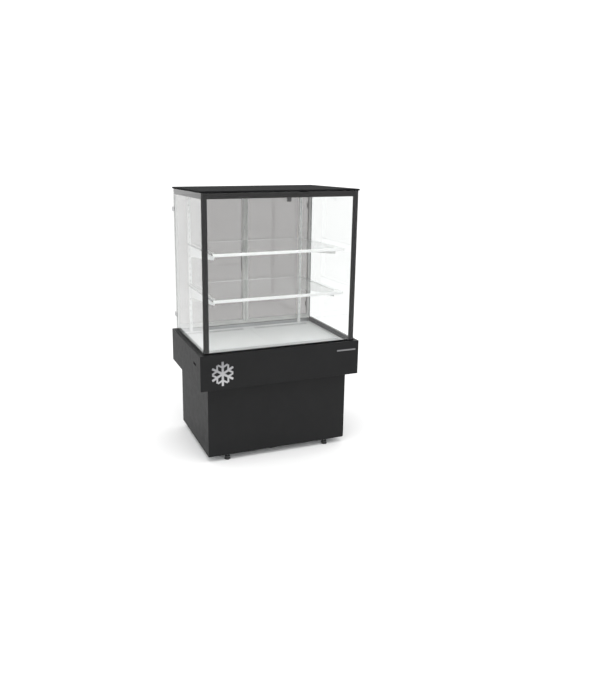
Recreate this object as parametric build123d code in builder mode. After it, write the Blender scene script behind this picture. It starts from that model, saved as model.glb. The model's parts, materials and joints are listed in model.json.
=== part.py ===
"""Refrigerated deli case: a glass display cube on a wide cooled body and a closed machine cabinet.

Millimetres, +Z up, front towards -Y, origin on the floor under the middle of the overall box.
Distances called "back" are measured rearwards from the front face of the wide body.
"""

import os
from math import cos, radians, sin

from build123d import *

# ---- driving dimensions ----------------------------------------------------------------
body_width = 1000
body_depth = 675
body_bottom = 469
body_top = 678
overall_height = 1586
sheet = 2

cabinet_width = 887
cabinet_front = 55
cabinet_back = 667
cabinet_bottom = 36
foot_x = 321
foot_backs = (77, 645)
foot_reach = 34

glass_width = 945
glass_thickness = 6
glass_front = 22.5
glass_foot = 680
rail_top = 686
band = 33
band_thickness = 0.6
lid_width = 950
lid_thickness = 10
lid_front = 11
lid_back = 680.5

deck_top = 655
liner_width = 880
liner_bottom = 509
liner_front = 40
liner_back = 625
grille_pitch = 14

shelf_half = 405
shelf_front = 50
shelf_back = 618
shelf_tops = (979, 1240)
shelf_thickness = 8
post_x = 380
post_front = 620
bracket_front = 110
bracket_thickness = 4

frame_front = 645
frame_depth = 10
door_seal_depth = 2.5
door_depth = 17.5
door_gap = 4
door_clear = 1
door_bottom = 684
door_top = 1570
stile = 18
hinge_heights = (775, 1450)
hinge_height = 28
hinge_pin_radius = 2.5
pin_clearance = 0.05
handle_reach = 32
handle_length = 210
handle_middle = 1130

badge_proud = 1.5
liner_overlap = 0.5
liner_rear = 641
hinge_out = 1.5
hinge_behind = 6

# ---- places worked out from them --------------------------------------------------------
door_front = frame_front + frame_depth
door_face = door_front + door_seal_depth + door_depth
rear_reach = door_face + handle_reach
front_y = -(rear_reach - badge_proud) / 2
lid_bottom = overall_height - lid_thickness
half_body = body_width / 2
half_cabinet = cabinet_width / 2
half_glass = glass_width / 2
glass_inside = half_glass - glass_thickness
pane_back = glass_front + glass_thickness
inner_x = glass_inside + liner_overlap
inner_front = pane_back - liner_overlap
inner_back = liner_rear
hinge_x = half_glass + hinge_out
hinge_back = door_face + hinge_behind

os.makedirs("parts", exist_ok=True)


# ---- helpers ----------------------------------------------------------------------------
def y_at(back):
    """Row-frame Y of a distance behind the front face of the wide body."""
    return front_y + back


def block(x0, x1, back0, back1, z0, z1, mode=Mode.ADD):
    """A rectangular block between two corners, in the part being built."""
    middle = ((x0 + x1) / 2, y_at((back0 + back1) / 2), (z0 + z1) / 2)
    with Locations(middle):
        Box(x1 - x0, back1 - back0, z1 - z0, mode=mode)


def rod(x, back, z0, z1, radius, mode=Mode.ADD):
    """An upright round rod, or a hole, in the part being built."""
    with Locations((x, y_at(back), (z0 + z1) / 2)):
        Cylinder(radius, z1 - z0, mode=mode)


def upright_plane(x, back, z):
    """A plane that faces rearwards: local X along +X, local Y down, local Z rearwards."""
    return Plane(origin=(x, y_at(back), z), x_dir=(1, 0, 0), z_dir=(0, 1, 0))


def front_plane(x, back, z):
    """A plane that faces the front: local X along +X, local Y up, local Z forwards."""
    return Plane(origin=(x, y_at(back), z), x_dir=(1, 0, 0), z_dir=(0, -1, 0))


def save(piece, name):
    """Labels a finished piece and writes its STEP file."""
    piece.part.label = name
    export_step(piece.part, f"parts/{name}.step")


def side_name(side):
    return "left" if side < 0 else "right"


# ---- lower cabinet ----------------------------------------------------------------------
tray_x = half_cabinet - sheet
tray_front = cabinet_front + sheet
tray_back = cabinet_back - sheet
flange = 25
boss_radius = 13
boss_height = 14
foot_stem_radius = 6
foot_hole_radius = 6.4
vent_back = 170
vent_pitch = 24
vent_count = 12
vent_length = 90
vent_width = 8
corner_width = 30
corner_foot = 16
frame_plate = 3

with BuildPart() as base_plate:
    block(-tray_x, tray_x, tray_front, tray_back, cabinet_bottom, cabinet_bottom + flange)
    block(
        -tray_x + sheet,
        tray_x - sheet,
        tray_front + sheet,
        tray_back - sheet,
        cabinet_bottom + sheet,
        cabinet_bottom + flange,
        mode=Mode.SUBTRACT,
    )
    for x in (-foot_x, foot_x):
        for back in foot_backs:
            rod(x, back, cabinet_bottom, cabinet_bottom + boss_height, boss_radius)
            rod(x, back, cabinet_bottom, cabinet_bottom + boss_height, foot_hole_radius, Mode.SUBTRACT)
    with BuildSketch(Plane.XY.offset(cabinet_bottom)):
        with Locations((0, y_at(vent_back))):
            with GridLocations(vent_pitch, 1, vent_count, 1):
                SlotOverall(vent_length, vent_width, rotation=90)
    extrude(amount=sheet, mode=Mode.SUBTRACT)
save(base_plate, "base_plate")

frame_x = tray_x - sheet
frame_front_edge = tray_front + sheet
frame_back_edge = tray_back - sheet
with BuildPart() as cabinet_frame:
    for side in (-1, 1):
        outer = side * frame_x
        inner = side * (frame_x - corner_width)
        web = side * (frame_x - frame_plate)
        for edge, turn in ((frame_front_edge, 1), (frame_back_edge, -1)):
            depth = sorted((edge, edge + turn * corner_width))
            flat = sorted((edge, edge + turn * frame_plate))
            block(*sorted((outer, web)), *depth, cabinet_bottom + corner_foot, body_bottom - frame_plate)
            block(*sorted((outer, inner)), *flat, cabinet_bottom + corner_foot, body_bottom - frame_plate)
    block(-tray_x, tray_x, tray_front, tray_back, body_bottom - frame_plate, body_bottom)
    block(
        -frame_x + corner_width,
        frame_x - corner_width,
        frame_front_edge + corner_width,
        frame_back_edge - corner_width,
        body_bottom - frame_plate,
        body_bottom,
        mode=Mode.SUBTRACT,
    )
save(cabinet_frame, "cabinet_frame")

hem = 16
panel_corner = 11
tab_depth = 1.5
tab_gap = 0.5
tab_clear = 5
tab_top_clear = 12
with BuildPart() as front_panel:
    with BuildSketch(front_plane(0, tray_front, (cabinet_bottom + body_bottom) / 2)) as outline:
        Rectangle(cabinet_width, body_bottom - cabinet_bottom)
        fillet(outline.vertices().group_by(Axis.Z)[0], radius=panel_corner)
    extrude(amount=sheet)
    for side in (-1, 1):
        edge = sorted((side * (tray_x - sheet - tab_gap), side * (tray_x - 2 * sheet - tab_gap)))
        tab_low = cabinet_bottom + flange + tab_clear
        block(*edge, tray_front, tray_front + tab_depth, tab_low, body_bottom - tab_top_clear)
save(front_panel, "front_panel")

for side in (-1, 1):
    with BuildPart() as side_panel:
        edge = sorted((side * tray_x, side * half_cabinet))
        block(*edge, tray_front, cabinet_back, cabinet_bottom, body_bottom)
        rim = sorted((side * (half_cabinet - hem), side * tray_x))
        block(*rim, tray_back, cabinet_back, cabinet_bottom + flange, body_bottom - 1)
    save(side_panel, f"{side_name(side)}_panel")

grille_gap = 1
grille_half = half_cabinet - hem - grille_gap
inlet_x = 350
inlet_z = 130
inlet_width = 48
inlet_height = 30
inlet_clear = 0.6
grille_margin = 2
louvre_middle = -100
louvre_length = 104
louvre_height = 9
louvre_pitch_x = 118
louvre_pitch_z = 21
louvre_columns = 5
louvre_rows = 17
with BuildPart() as rear_grille:
    middle_z = (cabinet_bottom + body_bottom) / 2
    with BuildSketch(upright_plane(0, tray_back, middle_z)):
        Rectangle(2 * grille_half, body_bottom - cabinet_bottom - 2 * grille_margin)
        with Locations((louvre_middle, 0)):
            with GridLocations(louvre_pitch_x, louvre_pitch_z, louvre_columns, louvre_rows):
                SlotOverall(louvre_length, louvre_height, mode=Mode.SUBTRACT)
        with Locations((inlet_x, middle_z - inlet_z)):
            Rectangle(inlet_width + inlet_clear, inlet_height + inlet_clear, mode=Mode.SUBTRACT)
    extrude(amount=sheet)
save(rear_grille, "rear_grille")

foot_sole = 16
foot_radius = 18
foot_chamfer = 2
foot_rim = 7
neck_radius = 12
neck_low = 12
neck_high = 22
stem_top = foot_reach + 32
for x in (-foot_x, foot_x):
    for end, back in zip(("front", "rear"), foot_backs):
        with BuildPart() as foot:
            with BuildSketch(Plane(origin=(x, y_at(back), 0), z_dir=(0, -1, 0), x_dir=(1, 0, 0))):
                with BuildLine():
                    Polyline((0, 0), (foot_sole, 0), (foot_radius, foot_chamfer), (foot_radius, foot_rim))
                    Polyline((foot_radius, foot_rim), (neck_radius, neck_low), (neck_radius, neck_high))
                    Polyline((neck_radius, neck_high), (foot_stem_radius, neck_high))
                    Polyline((foot_stem_radius, neck_high), (foot_stem_radius, stem_top))
                    Polyline((foot_stem_radius, stem_top), (0, stem_top), (0, 0))
                make_face()
            revolve(axis=Axis((x, y_at(back), 0), (0, 0, 1)))
        save(foot, f"foot_{end}_{side_name(x)}")


# ---- refrigeration machine --------------------------------------------------------------
blade_overlap = 1.5
blade_thickness = 1.8
root_pitch = 42
tip_pitch = 24
tip_chord = 0.62
fin_thickness = 0.8
fin_inset = 2
fin_short = 3
fin_zone = 18
end_plate = 2
end_plate_inset = 13
bend_reach = 4
bend_clear = 2
tube_gap_share = 0.4


def axial_fan(plane, tip_radius, hub_radius, depth, blades, shaft_radius, shaft_length):
    """A fan about the plane's normal: hub, twisted blades and a stub shaft behind the hub."""
    root = hub_radius - blade_overlap
    with BuildPart() as fan:
        with BuildSketch(plane.offset(-depth / 2)):
            Circle(hub_radius)
        extrude(amount=depth)
        for index in range(blades):
            turn = radians(index * 360 / blades)
            spoke = plane.x_dir * cos(turn) + plane.y_dir * sin(turn)
            across = plane.z_dir.cross(spoke)
            tip = (tip_radius, tip_pitch, tip_radius * tip_chord)
            for radius, pitch, chord in ((root, root_pitch, depth), tip):
                station = Plane(origin=plane.origin + spoke * radius, x_dir=across, z_dir=spoke)
                with BuildSketch(station):
                    Rectangle(chord, blade_thickness, rotation=pitch)
            loft()
        with BuildSketch(plane.offset(-depth / 2)):
            Circle(shaft_radius)
        extrude(amount=-shaft_length)
    return fan


def finned_coil(x0, x1, back0, back1, z0, z1, fin_pitch, rows, tube_radius):
    """A finned heat exchanger: end plates, fins and straight tubes with their return bends."""
    middle_x = (x0 + x1) / 2
    middle_y = y_at((back0 + back1) / 2)
    middle_z = (z0 + z1) / 2
    row_pitch = (z1 - z0) / rows
    tube_gap = (back1 - back0) * tube_gap_share
    fins = int((x1 - x0 - 2 * fin_zone) / fin_pitch)
    bend = 2 * tube_radius + bend_clear
    with BuildPart() as coil:
        with Locations((middle_x, middle_y, middle_z)):
            with GridLocations(fin_pitch, 1, fins, 1):
                Box(fin_thickness, back1 - back0 - 2 * fin_inset, z1 - z0 - 2 * fin_short)
        for x in (x0 + end_plate_inset, x1 - end_plate_inset):
            with Locations((x, middle_y, middle_z)):
                Box(end_plate, back1 - back0, z1 - z0)
        tube_start = (x0 + bend_reach, middle_y, middle_z)
        tube_plane = Plane(origin=tube_start, x_dir=(0, 1, 0), z_dir=(1, 0, 0))
        with BuildSketch(tube_plane):
            with GridLocations(tube_gap, row_pitch, 2, rows):
                Circle(tube_radius)
        extrude(amount=x1 - x0 - 2 * bend_reach)
        for x in (x0, x1 - bend):
            with BuildSketch(Plane(origin=(x, middle_y, middle_z), x_dir=(0, 1, 0), z_dir=(1, 0, 0))):
                with GridLocations(1, row_pitch, 1, rows):
                    SlotOverall(tube_gap + bend, bend)
            extrude(amount=bend)
    return coil


condenser_x = (-400, -100)
condenser_back = (590, 650)
condenser_z = (75, 345)
condenser_fan_x = sum(condenser_x) / 2
condenser_fan_z = sum(condenser_z) / 2
condenser_pitch = 12
condenser_rows = 6
condenser_tube = 5
condenser_fan_radius = 96
condenser_fan_back = 555
condenser_hub = 24
condenser_blade_depth = 22
condenser_blades = 5
condenser_shaft = 24
motor_front = 470
shaft_radius = 4
shroud_inset = 12
shroud_front = 540
shroud_hole_gap = 10
bar_depth = 6
bar_height = 6
bar_drop = 44
bar_rise = 38
condenser_coil = finned_coil(
    *condenser_x, *condenser_back, *condenser_z, condenser_pitch, condenser_rows, condenser_tube
)
save(condenser_coil, "condenser_coil")

shroud_x = (condenser_x[0] + shroud_inset, condenser_x[1] - shroud_inset)
with BuildPart() as condenser_shroud:
    block(*shroud_x, shroud_front, condenser_back[0], *condenser_z)
    block(
        shroud_x[0] + sheet,
        shroud_x[1] - sheet,
        shroud_front + sheet,
        condenser_back[0],
        condenser_z[0] + sheet,
        condenser_z[1] - sheet,
        mode=Mode.SUBTRACT,
    )
    with Locations((condenser_fan_x, y_at(shroud_front + sheet / 2), condenser_fan_z)):
        Cylinder(
            condenser_fan_radius + shroud_hole_gap, 2 * sheet, rotation=(90, 0, 0), mode=Mode.SUBTRACT
        )
    for z in (condenser_fan_z - bar_drop, condenser_fan_z + bar_rise):
        block(*shroud_x, shroud_front - bar_depth, shroud_front, z, z + bar_height)
save(condenser_shroud, "condenser_shroud")

fan_plane = upright_plane(condenser_fan_x, condenser_fan_back, condenser_fan_z)
condenser_fan = axial_fan(
    fan_plane,
    condenser_fan_radius,
    condenser_hub,
    condenser_blade_depth,
    condenser_blades,
    shaft_radius,
    condenser_shaft,
)
save(condenser_fan, "condenser_fan")

compressor_x = 150
compressor_back = 380
compressor_radius = 88
compressor_floor = cabinet_bottom + sheet
stub_z = 170
stub_radius = 5.5
stub_length = 18
stub_middle = 5
dome_wall = 7
dome_floor = 60
dome_top = 250
dome_fillet = 56
seam_low = 150
seam_high = 158
seam_rim = 5
base_low = 54
base_half_x = 105
base_half_y = 75
base_hole = 70
mount_x = 88
mount_y = 58
mount_radius = 12
relay_near = 84
relay_far = 108
relay_half = 24
relay_low = 96
relay_high = 146
with BuildPart() as compressor:
    rod(compressor_x, compressor_back, dome_floor, dome_top, compressor_radius)
    fillet(compressor.faces().sort_by(Axis.Z)[-1].edges(), radius=dome_fillet)
    offset(amount=-dome_wall, openings=compressor.faces().sort_by(Axis.Z)[0])
    rod(compressor_x, compressor_back, seam_low, seam_high, compressor_radius + seam_rim)
    rod(compressor_x, compressor_back, seam_low, seam_high, compressor_radius - dome_wall, Mode.SUBTRACT)
    block(
        compressor_x - base_half_x,
        compressor_x + base_half_x,
        compressor_back - base_half_y,
        compressor_back + base_half_y,
        base_low,
        dome_floor,
    )
    rod(compressor_x, compressor_back, base_low, dome_floor, base_hole, Mode.SUBTRACT)
    for dx in (-mount_x, mount_x):
        for dback in (-mount_y, mount_y):
            rod(compressor_x + dx, compressor_back + dback, compressor_floor, base_low, mount_radius)
    block(
        compressor_x + relay_near,
        compressor_x + relay_far,
        compressor_back - relay_half,
        compressor_back + relay_half,
        relay_low,
        relay_high,
    )
    with Locations((compressor_x - compressor_radius - stub_middle, y_at(compressor_back), stub_z)):
        Cylinder(stub_radius, stub_length, rotation=(0, 90, 0))
    with Locations((compressor_x, y_at(compressor_back + compressor_radius + stub_middle), stub_z)):
        Cylinder(stub_radius, stub_length, rotation=(90, 0, 0))
save(compressor, "compressor")


def pipe(points, radius, bend):
    """A round pipe along straight runs joined by arcs, added to the part being built."""
    corners = [Vector(x, y_at(back), z) for x, back, z in points]
    with BuildLine() as route:
        FilletPolyline(*corners, radius=bend)
    with BuildSketch(Plane(origin=corners[0], z_dir=corners[1] - corners[0])) as section:
        Circle(radius)
    sweep(sections=section.sketch, path=route.wires()[0])


stub_end = compressor_radius + stub_middle + stub_length / 2
header_back = 620
hot_pipe_radius = 4
cold_pipe_radius = 5
hot_run_x = -20
liquid_run_x = -50
liquid_z = 300
pipe_bend = 24
liquid_bend = 20
suction_run = 50
dryer_low = 340
dryer_high = 430
dryer_radius = 13
suction_back = compressor_back + stub_end + suction_run
with BuildPart() as refrigerant_pipes:
    pipe(
        [
            (compressor_x - stub_end, compressor_back, stub_z),
            (hot_run_x, compressor_back, stub_z),
            (hot_run_x, header_back, stub_z),
            (condenser_x[1], header_back, stub_z),
        ],
        hot_pipe_radius,
        pipe_bend,
    )
    pipe(
        [
            (condenser_x[1], header_back, liquid_z),
            (liquid_run_x, header_back, liquid_z),
            (liquid_run_x, header_back, body_bottom),
        ],
        hot_pipe_radius,
        liquid_bend,
    )
    rod(liquid_run_x, header_back, dryer_low, dryer_high, dryer_radius)
    pipe(
        [
            (compressor_x, compressor_back + stub_end, stub_z),
            (compressor_x, suction_back, stub_z),
            (compressor_x, suction_back, body_bottom),
        ],
        cold_pipe_radius,
        pipe_bend,
    )
save(refrigerant_pipes, "refrigerant_pipes")

drain_x = -250
drain_back = 260
drain_radius = 11
drain_wall = 2
drain_low = 66
drip_x = (-400, -100)
drip_back = (110, 430)
drip_top = 92
drip_wall = 3
with BuildPart() as drip_tray:
    block(*drip_x, *drip_back, compressor_floor, drip_top)
    block(
        drip_x[0] + drip_wall,
        drip_x[1] - drip_wall,
        drip_back[0] + drip_wall,
        drip_back[1] - drip_wall,
        compressor_floor + drip_wall,
        drip_top,
        mode=Mode.SUBTRACT,
    )
save(drip_tray, "drip_tray")

with BuildPart() as drain_pipe:
    rod(drain_x, drain_back, drain_low, liner_bottom, drain_radius)
    rod(drain_x, drain_back, drain_low, liner_bottom, drain_radius - drain_wall, Mode.SUBTRACT)
save(drain_pipe, "drain_pipe")

box_x = (280, 420)
box_back = (560, 648)
box_z = (70, 300)
box_corner = 6
gland_zs = (110, 190, 270)
gland_half = 8
gland_reach = 10
gland_root = 0.5
gland_back = (590, 610)
with BuildPart() as electrical_box:
    block(*box_x, *box_back, *box_z)
    edges_up = electrical_box.edges().filter_by(Axis.Z)
    fillet(edges_up, radius=box_corner)
    for z in gland_zs:
        block(box_x[0] - gland_reach, box_x[0] + gland_root, *gland_back, z - gland_half, z + gland_half)
save(electrical_box, "electrical_box")

inlet_rear = 670
inlet_wall = 5
inlet_mouth = 16
inlet_depth = 15
pin_half = 1.2
pin_height = 3
pin_places = ((-8, -3), (8, -3), (0, 4))
pin_back = 2
with BuildPart() as power_inlet:
    low = inlet_z - inlet_height / 2
    high = inlet_z + inlet_height / 2
    floor_back = inlet_rear - inlet_depth
    block(inlet_x - inlet_width / 2, inlet_x + inlet_width / 2, box_back[1], inlet_rear, low, high)
    block(
        inlet_x - inlet_mouth,
        inlet_x + inlet_mouth,
        floor_back,
        inlet_rear,
        low + inlet_wall,
        high - inlet_wall,
        mode=Mode.SUBTRACT,
    )
    for dx, dz in pin_places:
        pin_x = (inlet_x + dx - pin_half, inlet_x + dx + pin_half)
        pin_z = (inlet_z + dz - pin_height, inlet_z + dz + pin_height)
        block(*pin_x, floor_back - 1, inlet_rear - pin_back, *pin_z)
save(power_inlet, "power_inlet")

# ---- wide refrigerated body -------------------------------------------------------------
switch_back = 121.5
switch_z = 602
switch_length = 57
switch_height = 15
controller_x = 250
controller_z = 590
controller_width = 78
controller_height = 32
controller_front = 648
fold_radius = 1.8
corner_fold = 3
liner_sheet = 1.5
deck_sheet = 2
access_margin = 8
hole_clear = 0.5
deck_ledge = deck_top - deck_sheet
wall_front = inner_front - liner_sheet
wall_x = inner_x + liner_sheet
wall_back = inner_back + liner_sheet
tub_x = liner_width / 2 + liner_sheet
tub_front = liner_front - liner_sheet
tub_back = liner_back + liner_sheet
shelf_floor = deck_ledge - liner_sheet
switch_low = switch_z - switch_height / 2
switch_high = switch_z + switch_height / 2
switch_near = switch_back - switch_length / 2
switch_far = switch_back + switch_length / 2

with BuildPart() as body_shell:
    block(-half_body, half_body, 0, body_depth, body_bottom, body_top)
    fillet(body_shell.edges().filter_by(Axis.Z), radius=corner_fold)
    fillet(body_shell.edges().group_by(Axis.Z)[-1], radius=fold_radius)
    fillet(body_shell.edges().group_by(Axis.Z)[0], radius=fold_radius)
    block(
        -half_body + sheet,
        half_body - sheet,
        sheet,
        body_depth - sheet,
        body_bottom + sheet,
        body_top - sheet,
        mode=Mode.SUBTRACT,
    )
    block(-inner_x, inner_x, inner_front, inner_back, body_top - sheet, body_top, mode=Mode.SUBTRACT)
    block(
        -half_body + access_margin,
        half_body - access_margin,
        body_depth - sheet,
        body_depth,
        body_bottom + access_margin,
        body_top - access_margin,
        mode=Mode.SUBTRACT,
    )
    rod(drain_x, drain_back, body_bottom, body_bottom + sheet, drain_radius + hole_clear, Mode.SUBTRACT)
    block(
        -half_body,
        -half_body + sheet,
        switch_near,
        switch_far,
        switch_low,
        switch_high,
        mode=Mode.SUBTRACT,
    )
save(body_shell, "body_shell")

pocket_gap = 1
pocket_depth = 24
controller_pocket = 644
controller_x0 = controller_x - controller_width / 2
controller_x1 = controller_x + controller_width / 2
controller_z0 = controller_z - controller_height / 2
controller_z1 = controller_z + controller_height / 2
apron_back = body_depth - sheet
apron_front = apron_back - sheet
with BuildPart() as insulation:
    block(
        -half_body + sheet,
        half_body - sheet,
        sheet,
        apron_front,
        body_bottom + sheet,
        body_top - sheet,
    )
    block(-wall_x, wall_x, wall_front, wall_back, shelf_floor, body_top - sheet, mode=Mode.SUBTRACT)
    block(-tub_x, tub_x, tub_front, tub_back, liner_bottom, shelf_floor, mode=Mode.SUBTRACT)
    rod(drain_x, drain_back, body_bottom + sheet, liner_bottom, drain_radius + hole_clear, Mode.SUBTRACT)
    block(
        -half_body + sheet,
        -half_body + pocket_depth,
        switch_near - pocket_gap,
        switch_far + pocket_gap,
        switch_low - pocket_gap,
        switch_high + pocket_gap,
        mode=Mode.SUBTRACT,
    )
    block(
        controller_x0,
        controller_x1,
        controller_pocket,
        apron_front,
        controller_z0,
        controller_z1,
        mode=Mode.SUBTRACT,
    )
save(insulation, "insulation")

liner_floor = liner_bottom + liner_sheet
drain_mouth = drain_radius - drain_wall
with BuildPart() as tub_liner:
    block(-wall_x, wall_x, wall_front, wall_back, shelf_floor, body_top - sheet)
    block(-tub_x, tub_x, tub_front, tub_back, liner_bottom, shelf_floor)
    block(-inner_x, inner_x, inner_front, inner_back, deck_ledge, body_top - sheet, mode=Mode.SUBTRACT)
    block(
        -liner_width / 2,
        liner_width / 2,
        liner_front,
        liner_back,
        liner_floor,
        deck_ledge,
        mode=Mode.SUBTRACT,
    )
    rod(drain_x, drain_back, liner_bottom, liner_floor, drain_mouth, Mode.SUBTRACT)
save(tub_liner, "tub_liner")

apron_margin = 3
with BuildPart() as rear_apron:
    block(
        -half_body + apron_margin,
        half_body - apron_margin,
        apron_front,
        apron_back,
        body_bottom + apron_margin,
        body_top - apron_margin,
    )
    block(
        controller_x0,
        controller_x1,
        apron_front,
        apron_back,
        controller_z0,
        controller_z1,
        mode=Mode.SUBTRACT,
    )
save(rear_apron, "rear_apron")

key_length = 9
key_height = 6
key_slide = 0.3
key_proud = 1.2
key_depth = 4.5
key_well = 6
key_fillet = 0.8
key_near = 20
key_far = 32
key_xs = {"key_up": controller_x + key_near, "key_down": controller_x + key_far}
controller_proud = 3
controller_face = body_depth + controller_proud
controller_clear = 0.5
bezel_rim = 4
bezel_fillet = 1.5
window_left = 34
window_right = 8
window_x = (controller_x - window_left, controller_x + window_right)
window_half = 11
window_depth = 1
with BuildPart() as controller:
    block(
        controller_x0 + controller_clear,
        controller_x1 - controller_clear,
        controller_front,
        apron_back,
        controller_z0 + controller_clear,
        controller_z1 - controller_clear,
    )
    block(
        controller_x0 - bezel_rim,
        controller_x1 + bezel_rim,
        apron_back,
        controller_face,
        controller_z0 - bezel_rim,
        controller_z1 + bezel_rim,
    )
    fillet(controller.faces().sort_by(Axis.Y)[-1].edges(), radius=bezel_fillet)
    block(
        *window_x,
        controller_face - window_depth,
        controller_face,
        controller_z - window_half,
        controller_z + window_half,
        mode=Mode.SUBTRACT,
    )
    for x in key_xs.values():
        block(
            x - key_length / 2 - key_slide,
            x + key_length / 2 + key_slide,
            controller_face - key_well,
            controller_face,
            controller_z - key_height / 2 - key_slide,
            controller_z + key_height / 2 + key_slide,
            mode=Mode.SUBTRACT,
        )
save(controller, "controller")

for name, x in key_xs.items():
    with BuildPart() as key:
        block(
            x - key_length / 2,
            x + key_length / 2,
            controller_face - key_depth,
            controller_face + key_proud,
            controller_z - key_height / 2,
            controller_z + key_height / 2,
        )
        fillet(key.faces().sort_by(Axis.Y)[-1].edges(), radius=key_fillet)
    save(key, name)

bezel_gap = 0.3
bezel_sunk = 0.5
bezel_depth = 18
rocker_length = 30
rocker_height = 9
rocker_end_gap = 1
rocker_side_gap = 0.5
rocker_well = 14
with BuildPart() as switch_bezel:
    block(
        -half_body + bezel_sunk,
        -half_body + bezel_depth,
        switch_near + bezel_gap,
        switch_far - bezel_gap,
        switch_low + bezel_gap,
        switch_high - bezel_gap,
    )
    block(
        -half_body + bezel_sunk,
        -half_body + rocker_well,
        switch_back - rocker_length / 2 - rocker_end_gap,
        switch_back + rocker_length / 2 + rocker_end_gap,
        switch_z - rocker_height / 2 - rocker_side_gap,
        switch_z + rocker_height / 2 + rocker_side_gap,
        mode=Mode.SUBTRACT,
    )
save(switch_bezel, "switch_bezel")

rocker_pivot_depth = 7
rocker_pivot_radius = 4
rocker_sunk = 1.6
rocker_pivot_x = -half_body + rocker_pivot_depth
rocker_face_x = -half_body + rocker_sunk
rocker_dish = 1.4
with BuildPart() as rocker_switch:
    with BuildSketch(Plane.XY.offset(switch_z - rocker_height / 2)):
        with Locations((rocker_pivot_x, y_at(switch_back))):
            Circle(rocker_pivot_radius)
        with BuildLine():
            near = y_at(switch_back - rocker_length / 2)
            far = y_at(switch_back + rocker_length / 2)
            Polyline(
                (rocker_pivot_x, far),
                (rocker_face_x, far),
                (rocker_face_x + rocker_dish, y_at(switch_back)),
                (rocker_face_x, near),
                (rocker_pivot_x, near),
                close=True,
            )
        make_face()
    extrude(amount=rocker_height)
save(rocker_switch, "rocker_switch")

evaporator_x = (-300, 300)
evaporator_back = (380, 560)
evaporator_z = (520, 620)
evaporator_pitch = 15
evaporator_rows = 3
evaporator_tube = 5
evaporator_coil = finned_coil(
    *evaporator_x, *evaporator_back, *evaporator_z, evaporator_pitch, evaporator_rows, evaporator_tube
)
save(evaporator_coil, "evaporator_coil")

evaporator_fan_z = 578
evaporator_fan_radius = 54
evaporator_hub = 18
evaporator_blade_depth = 14
evaporator_blades = 5
evaporator_shaft_radius = 3
evaporator_shaft = 18
fan_deck_back = 290
fan_deck_x = liner_width / 2 - 1
fan_deck_clear = 6
fan_hole_gap = 5
fan_deck_foot = 14
with BuildPart() as fan_deck:
    block(
        -fan_deck_x,
        fan_deck_x,
        fan_deck_back,
        fan_deck_back + sheet,
        liner_floor,
        deck_ledge - fan_deck_clear,
    )
    with Locations((0, y_at(fan_deck_back + sheet / 2), evaporator_fan_z)):
        Cylinder(evaporator_fan_radius + fan_hole_gap, 2 * sheet, rotation=(90, 0, 0), mode=Mode.SUBTRACT)
    foot_end = fan_deck_back + fan_deck_foot
    block(-fan_deck_x, fan_deck_x, fan_deck_back, foot_end, liner_floor, liner_floor + sheet)
save(fan_deck, "fan_deck")

evaporator_fan_back = fan_deck_back + sheet / 2
evaporator_plane = front_plane(0, evaporator_fan_back, evaporator_fan_z)
evaporator_fan = axial_fan(
    evaporator_plane,
    evaporator_fan_radius,
    evaporator_hub,
    evaporator_blade_depth,
    evaporator_blades,
    evaporator_shaft_radius,
    evaporator_shaft,
)
save(evaporator_fan, "evaporator_fan")

motor_gap = 12
motor_radius = 34
motor_fillet = 4
clamp_half = 20
clamp_depth = 12
clamp_height = 16
clamp_drop = 44
clamp_rise = 28
bore_depth = 30
small_motor_gap = 9
small_motor_length = 40
small_motor_radius = 22
small_bore = 22
stand_half = 4
stand_foot_half = 30
stand_from = 6
stand_to = 34
stand_foot = 3
stand_reach = 18
with BuildPart() as fan_motors:
    motor_end = condenser_fan_back - motor_gap
    with Locations((condenser_fan_x, y_at((motor_front + motor_end) / 2), condenser_fan_z)):
        Cylinder(motor_radius, motor_end - motor_front, rotation=(90, 0, 0))
    fillet(fan_motors.edges().filter_by(GeomType.CIRCLE), radius=motor_fillet)
    bars_front = shroud_front - bar_depth
    clamp_x = (condenser_fan_x - clamp_half, condenser_fan_x + clamp_half)
    for z in (condenser_fan_z - clamp_drop, condenser_fan_z + clamp_rise):
        block(*clamp_x, bars_front - clamp_depth, bars_front, z, z + clamp_height)
    with Locations((condenser_fan_x, y_at(motor_end), condenser_fan_z)):
        bore_radius = shaft_radius + pin_clearance
        Cylinder(bore_radius, 2 * bore_depth, rotation=(90, 0, 0), mode=Mode.SUBTRACT)
    small_front = evaporator_fan_back + small_motor_gap
    with Locations((0, y_at(small_front + small_motor_length / 2), evaporator_fan_z)):
        Cylinder(small_motor_radius, small_motor_length, rotation=(90, 0, 0))
    stand_backs = (small_front + stand_from, small_front + stand_to)
    block(-stand_half, stand_half, *stand_backs, liner_floor, evaporator_fan_z - stand_reach)
    block(-stand_foot_half, stand_foot_half, *stand_backs, liner_floor, liner_floor + stand_foot)
    with Locations((0, y_at(small_front), evaporator_fan_z)):
        bore_radius = evaporator_shaft_radius + pin_clearance
        Cylinder(bore_radius, 2 * small_bore, rotation=(90, 0, 0), mode=Mode.SUBTRACT)
save(fan_motors, "fan_motors")

deck_split = 197
front_slot_back = 185
front_slot_front = 50
slot_width = 6
slot_border = 15
rear_slot_length = 40
rear_slot_inset = 50
rear_slot_count = 28
deck_rear = 640
deck_margin = 0.5
deck_joint = 1
for side in (-1, 1):
    with BuildPart() as deck:
        span = sorted((side * deck_margin, side * (inner_x - deck_margin)))
        block(*span, deck_split + deck_joint, deck_rear, deck_ledge, deck_top)
        with BuildSketch(Plane.XY.offset(deck_ledge)):
            with Locations((side * inner_x / 2, y_at(deck_rear - rear_slot_inset))):
                with GridLocations(grille_pitch, 1, rear_slot_count, 1):
                    SlotOverall(rear_slot_length, slot_width, rotation=90)
        extrude(amount=deck_top - deck_ledge, mode=Mode.SUBTRACT)
    save(deck, f"deck_{side_name(side)}")

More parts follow.
